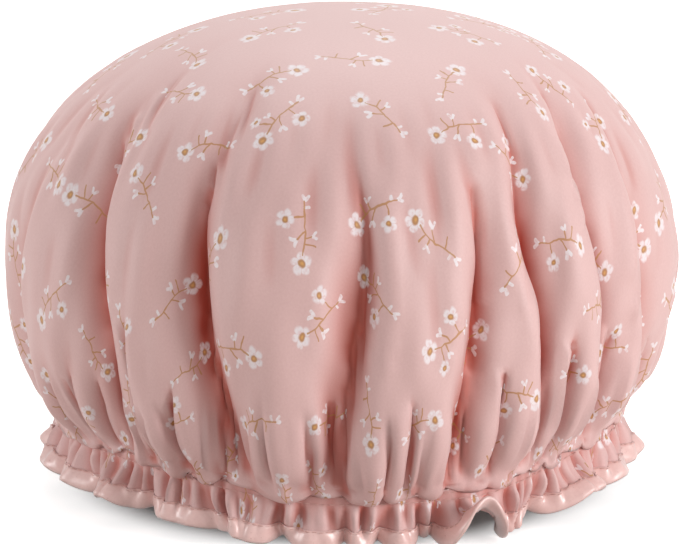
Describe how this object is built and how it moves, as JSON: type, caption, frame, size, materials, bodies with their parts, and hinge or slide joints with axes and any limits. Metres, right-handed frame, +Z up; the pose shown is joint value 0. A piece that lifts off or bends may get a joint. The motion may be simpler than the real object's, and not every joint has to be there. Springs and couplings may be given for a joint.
{
  "type": "shower cap",
  "caption": "Round puffed shower cap of printed satin over a waterproof film, gathered on an elastic band with a ruffled, satin-bound frill that stretches open to go over the hair.",
  "frame": {"origin": "centre of the plane that the bound hem rests on, under the middle of the crown", "axes": "+Z up towards the top of the crown, -Y towards the wearer's forehead, +Y towards the nape, +X to the wearer's left"},
  "size_m": [0.2785, 0.2782, 0.1961],
  "materials": {
    "printed_satin": "satin",
    "glossy_satin": "gloss",
    "waterproof_film": "satin",
    "casing_tape": "matte",
    "woven_elastic": "matte",
    "sewing_thread": "satin"
  },
  "bodies": {
    "cap": {"outer_shell": "printed_satin", "waterproof_lining": "waterproof_film", "frill_front": "printed_satin", "hem_binding_front": "glossy_satin", "elastic_casing_front": "casing_tape", "elastic_band_front": "woven_elastic", "casing_thread_upper_front": "sewing_thread", "casing_thread_lower_front": "sewing_thread", "binding_thread_front": "sewing_thread"},
    "rim_back": {"frill_back": "printed_satin", "hem_binding_back": "glossy_satin", "elastic_casing_back": "casing_tape", "elastic_band_back": "woven_elastic", "casing_thread_upper_back": "sewing_thread", "casing_thread_lower_back": "sewing_thread", "binding_thread_back": "sewing_thread", "elastic_lap_bartack": "sewing_thread"}
  },
  "joints": [
    {"name": "back_stretch", "type": "slide", "parent": "cap", "child": "rim_back", "axis": [0, 1, 0], "range_m": [0, 0.06], "stiffness_N_per_m": 80}
  ]
}
